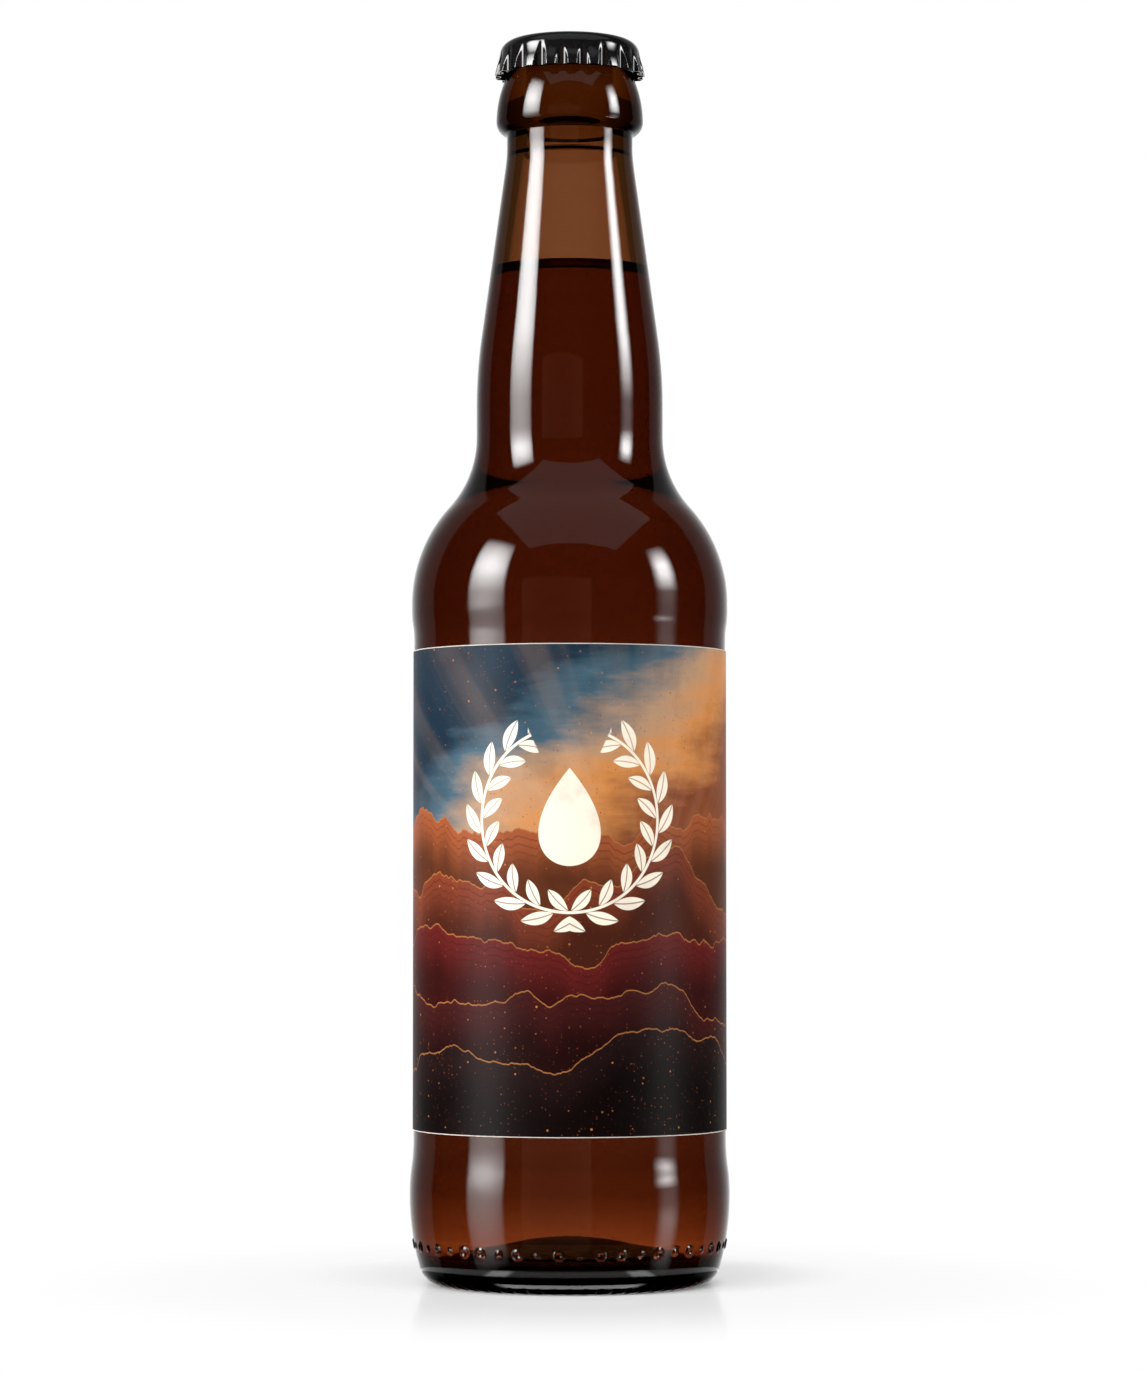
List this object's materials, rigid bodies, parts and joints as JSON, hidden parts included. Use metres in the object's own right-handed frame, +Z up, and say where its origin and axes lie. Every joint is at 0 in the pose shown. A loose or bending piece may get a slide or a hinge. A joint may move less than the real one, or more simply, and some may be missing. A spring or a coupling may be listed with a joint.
{
  "type": "glass soda bottle",
  "caption": "Sealed long-neck amber glass soda bottle with a recessed wrap-around label, a fluted crown cap that lifts off its finish, and drink up to the neck.",
  "frame": {"origin": "centre of the bearing ring, on the surface that the bottle stands on", "axes": "+Z up along the bottle's axis, -Y towards the front of the label, its lap at +Y"},
  "size_m": [0.0604, 0.0604, 0.2358],
  "materials": {
    "amber_glass": "clear amber, gloss",
    "drink": "clear dark brown liquid",
    "crown_lacquer": "gloss black lacquer",
    "liner_compound": "soft, matt, grey-white",
    "label_paper": "printed paper, satin varnish",
    "label_glue": "dried glue film"
  },
  "bodies": {
    "bottle": {"glass_bottle": "amber_glass", "soda": "drink", "label": "label_paper", "label_adhesive": "label_glue"},
    "crown": {"crown_cap": "crown_lacquer", "cap_liner": "liner_compound"}
  },
  "joints": [
    {"name": "crown_lift", "type": "slide", "parent": "bottle", "child": "crown", "axis": [0, 0, 1], "range_m": [0, 0.05]}
  ]
}
